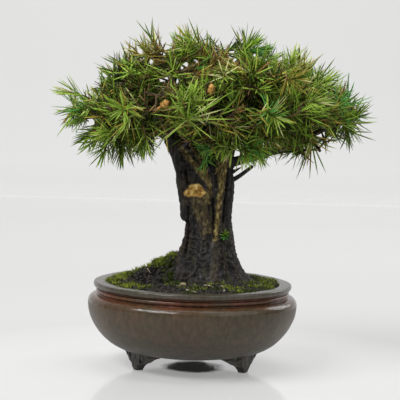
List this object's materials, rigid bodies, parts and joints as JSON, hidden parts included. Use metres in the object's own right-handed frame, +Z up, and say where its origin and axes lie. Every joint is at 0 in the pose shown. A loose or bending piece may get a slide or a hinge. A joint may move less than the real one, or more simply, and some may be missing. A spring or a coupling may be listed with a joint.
{
  "type": "needle juniper bonsai",
  "caption": "Small needle juniper bonsai: a thick flared trunk that forks into an umbrella crown of needle sprays, in a round glazed pot on feet.",
  "frame": {"origin": "on the plane the pot's feet stand on, under the middle of the whole tree's box; the pot's axis is 8 mm to the left of it", "axes": "+Z up, -Y towards the tree's front as in the picture, +X to the right seen from the front"},
  "size_m": [0.1808, 0.1281, 0.1922],
  "materials": {
    "brown_glaze": "glossy dark brown glaze, mottled, reddish under the lip",
    "soil": "dark granules of baked clay",
    "moss": "matte yellow-green moss over dark granules",
    "bark": "dark fissured bark with ochre deadwood",
    "needles": "green needles with a slight wax sheen"
  },
  "bodies": {
    "root": {"pot": "brown_glaze", "foot_front_left": "brown_glaze", "foot_front_right": "brown_glaze", "foot_back": "brown_glaze", "soil": "soil", "moss": "moss", "trunk": "bark", "dead_stub": "bark", "bough_left_leader": "bark", "bough_right_leader": "bark", "bough_right_tip": "bark", "bough_left_tip": "bark", "bough_left_low": "bark", "bough_left_crown": "bark", "bough_front_left": "bark", "bough_back_left": "bark", "bough_front_top_left": "bark", "bough_back_top": "bark", "bough_front_centre": "bark", "bough_back_centre": "bark", "bough_top_centre": "bark", "bough_front_top_right": "bark", "bough_right_crown": "bark", "bough_front_right": "bark", "bough_back_right": "bark", "bough_right_low": "bark", "bough_low_front": "bark", "bough_fork_front": "bark", "foliage_left_leader": "needles", "foliage_right_leader": "needles", "foliage_right_tip": "needles", "foliage_left_tip": "needles", "foliage_left_low": "needles", "foliage_left_crown": "needles", "foliage_front_left": "needles", "foliage_back_left": "needles", "foliage_front_top_left": "needles", "foliage_back_top": "needles", "foliage_front_centre": "needles", "foliage_back_centre": "needles", "foliage_top_centre": "needles", "foliage_front_top_right": "needles", "foliage_right_crown": "needles", "foliage_front_right": "needles", "foliage_back_right": "needles", "foliage_right_low": "needles", "foliage_low_front": "needles", "foliage_fork_front": "needles"}
  },
  "joints": []
}
